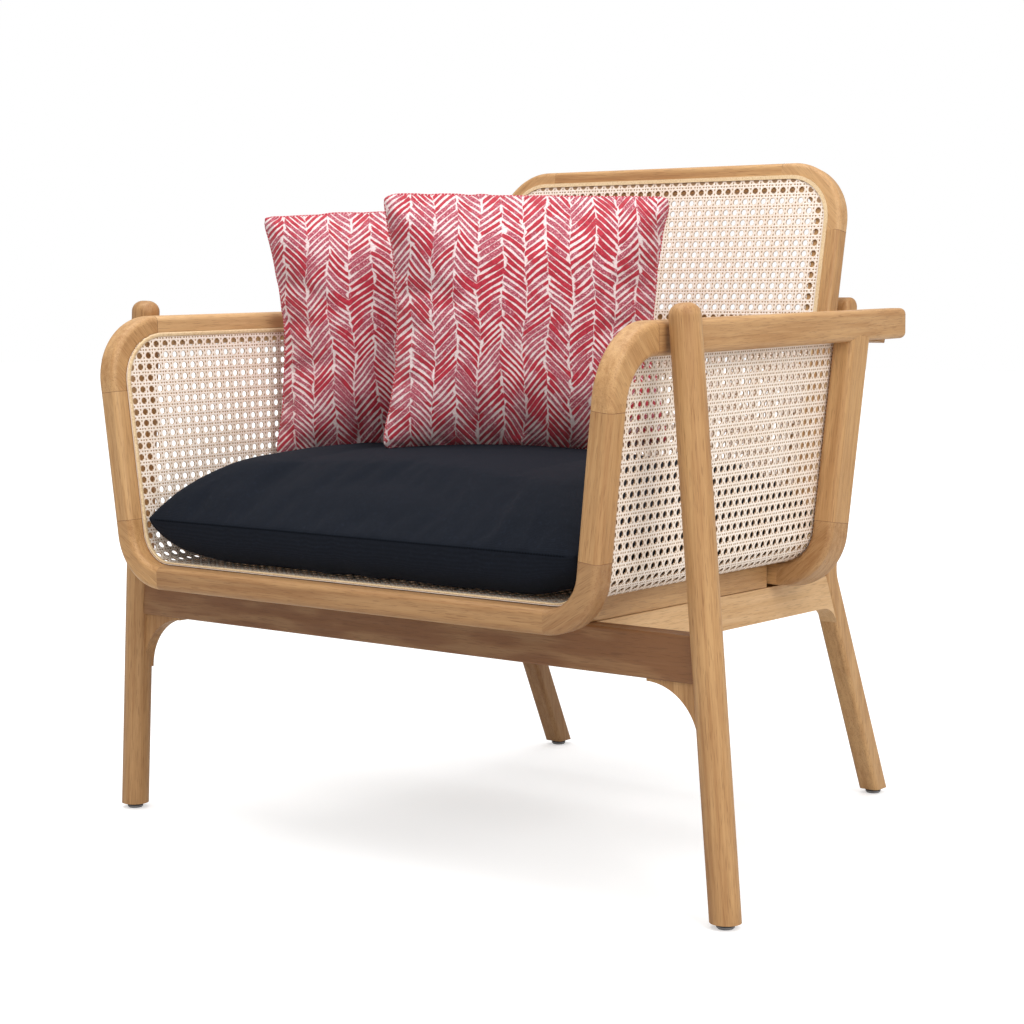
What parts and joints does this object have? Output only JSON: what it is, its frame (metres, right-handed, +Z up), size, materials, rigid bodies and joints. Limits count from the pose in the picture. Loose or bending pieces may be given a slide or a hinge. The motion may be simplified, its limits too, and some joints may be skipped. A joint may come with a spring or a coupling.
{
  "type": "cane armchair",
  "caption": "Low armchair with a cane bucket hung in bent wooden hoops, a leaning cane back, splayed legs, a loose seat cushion and scatter pillows.",
  "frame": {"origin": "on the floor under the middle of the chair's bounding box", "axes": "+Z up, the sitter faces -Y, +X is the sitter's left arm side, which is the right side seen from the front"},
  "size_m": [0.87, 0.7343, 0.7682],
  "materials": {
    "oiled_wood": "satin",
    "apron_wood": "satin",
    "woven_cane": "semi-matt woven cane",
    "cane_spline": "satin",
    "navy_fabric": "fine weave",
    "woven_pillow_fabric": "coarse broken herringbone weave",
    "foot_glide": "matt"
  },
  "bodies": {
    "chair_frame": {"front_post_left": "oiled_wood", "front_post_right": "oiled_wood", "rear_leg_left": "oiled_wood", "rear_leg_right": "oiled_wood", "side_apron_left": "apron_wood", "side_apron_right": "apron_wood", "side_rail_left": "oiled_wood", "side_rail_right": "oiled_wood", "front_corner_left": "oiled_wood", "front_corner_right": "oiled_wood", "front_upright_left": "oiled_wood", "front_upright_right": "oiled_wood", "arm_corner_left": "oiled_wood", "arm_corner_right": "oiled_wood", "arm_rail_left": "oiled_wood", "arm_rail_right": "oiled_wood", "rear_corner_left": "oiled_wood", "rear_corner_right": "oiled_wood", "rear_upright_left": "oiled_wood", "rear_upright_right": "oiled_wood", "back_corner_left": "oiled_wood", "back_corner_right": "oiled_wood", "back_upright_left": "oiled_wood", "back_upright_right": "oiled_wood", "arm_spline_left": "cane_spline", "arm_spline_right": "cane_spline", "front_glide_left": "foot_glide", "front_glide_right": "foot_glide", "rear_glide_left": "foot_glide", "rear_glide_right": "foot_glide", "front_apron": "apron_wood", "rear_apron": "apron_wood", "front_rail": "oiled_wood", "rear_rail": "oiled_wood", "back_top_rail": "oiled_wood", "back_bottom_rail": "oiled_wood", "arm_cross_rail": "oiled_wood", "cane_bucket": "woven_cane", "front_spline": "cane_spline", "rear_spline": "cane_spline", "back_cane": "woven_cane", "back_spline": "cane_spline"},
    "seat_cushion_body": {"seat_cushion": "navy_fabric"},
    "left_pillow_body": {"left_pillow": "woven_pillow_fabric"},
    "right_pillow_body": {"right_pillow": "woven_pillow_fabric"}
  },
  "joints": [
    {"name": "seat_cushion_lift", "type": "slide", "parent": "chair_frame", "child": "seat_cushion_body", "axis": [0, 0, 1], "range_m": [0, 0.3]},
    {"name": "left_pillow_lift", "type": "slide", "parent": "seat_cushion_body", "child": "left_pillow_body", "axis": [0, 0.0683, 0.9977], "range_m": [0, 0.25]},
    {"name": "right_pillow_lift", "type": "slide", "parent": "seat_cushion_body", "child": "right_pillow_body", "axis": [0, 0.0683, 0.9977], "range_m": [0, 0.25]}
  ]
}
